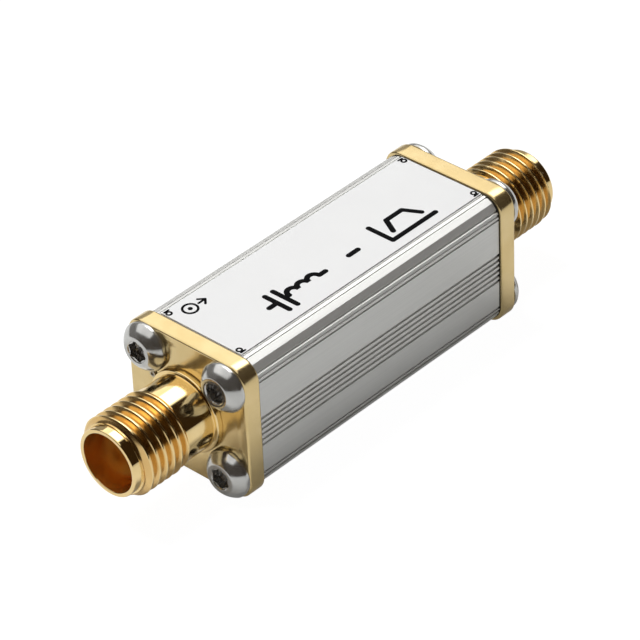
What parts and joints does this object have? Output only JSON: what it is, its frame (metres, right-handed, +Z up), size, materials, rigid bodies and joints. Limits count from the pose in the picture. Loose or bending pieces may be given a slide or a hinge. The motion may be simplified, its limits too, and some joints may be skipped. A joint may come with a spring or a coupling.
{
  "type": "rf bandpass filter",
  "caption": "Square ribbed aluminium tube closed by screwed gold end plates, with a threaded female coaxial jack at each end.",
  "frame": {"origin": "on the surface that the part lies on, under the middle of the part", "axes": "+X along the jack axis from the front jack to the rear jack, +Z up through the label, +Y across"},
  "size_m": [0.0446, 0.0112, 0.0112],
  "materials": {
    "housing_aluminium": "satin anodised, drawn along its length",
    "plate_gold": "satin gold plate",
    "jack_gold": "polished gold plate",
    "contact_gold": "polished gold plate",
    "screw_steel": "polished",
    "pin_steel": "bright",
    "label_white": "smooth film",
    "print_black": "matt ink",
    "insulator_white": "waxy",
    "board_green": "solder mask",
    "copper": "bright",
    "chip_ceramic": "fired ceramic",
    "gasket_black": "matt",
    "solder": "bright"
  },
  "bodies": {
    "root": {"housing": "housing_aluminium", "label": "label_white", "label_print": "print_black", "corner_marks": "print_black", "front_plate": "plate_gold", "rear_plate": "plate_gold", "front_plate_screws": "screw_steel", "rear_plate_screws": "screw_steel", "front_jack": "jack_gold", "rear_jack": "jack_gold", "front_insulator": "insulator_white", "rear_insulator": "insulator_white", "front_contact": "contact_gold", "rear_contact": "contact_gold", "front_gasket": "gasket_black", "rear_gasket": "gasket_black", "front_locating_pin": "pin_steel", "rear_locating_pin": "pin_steel", "circuit_board": "board_green", "copper_lands": "copper", "front_coil": "copper", "middle_coil": "copper", "rear_coil": "copper", "tuning_capacitors": "chip_ceramic", "coupling_capacitors": "chip_ceramic", "front_solder_joint": "solder", "rear_solder_joint": "solder"}
  },
  "joints": []
}
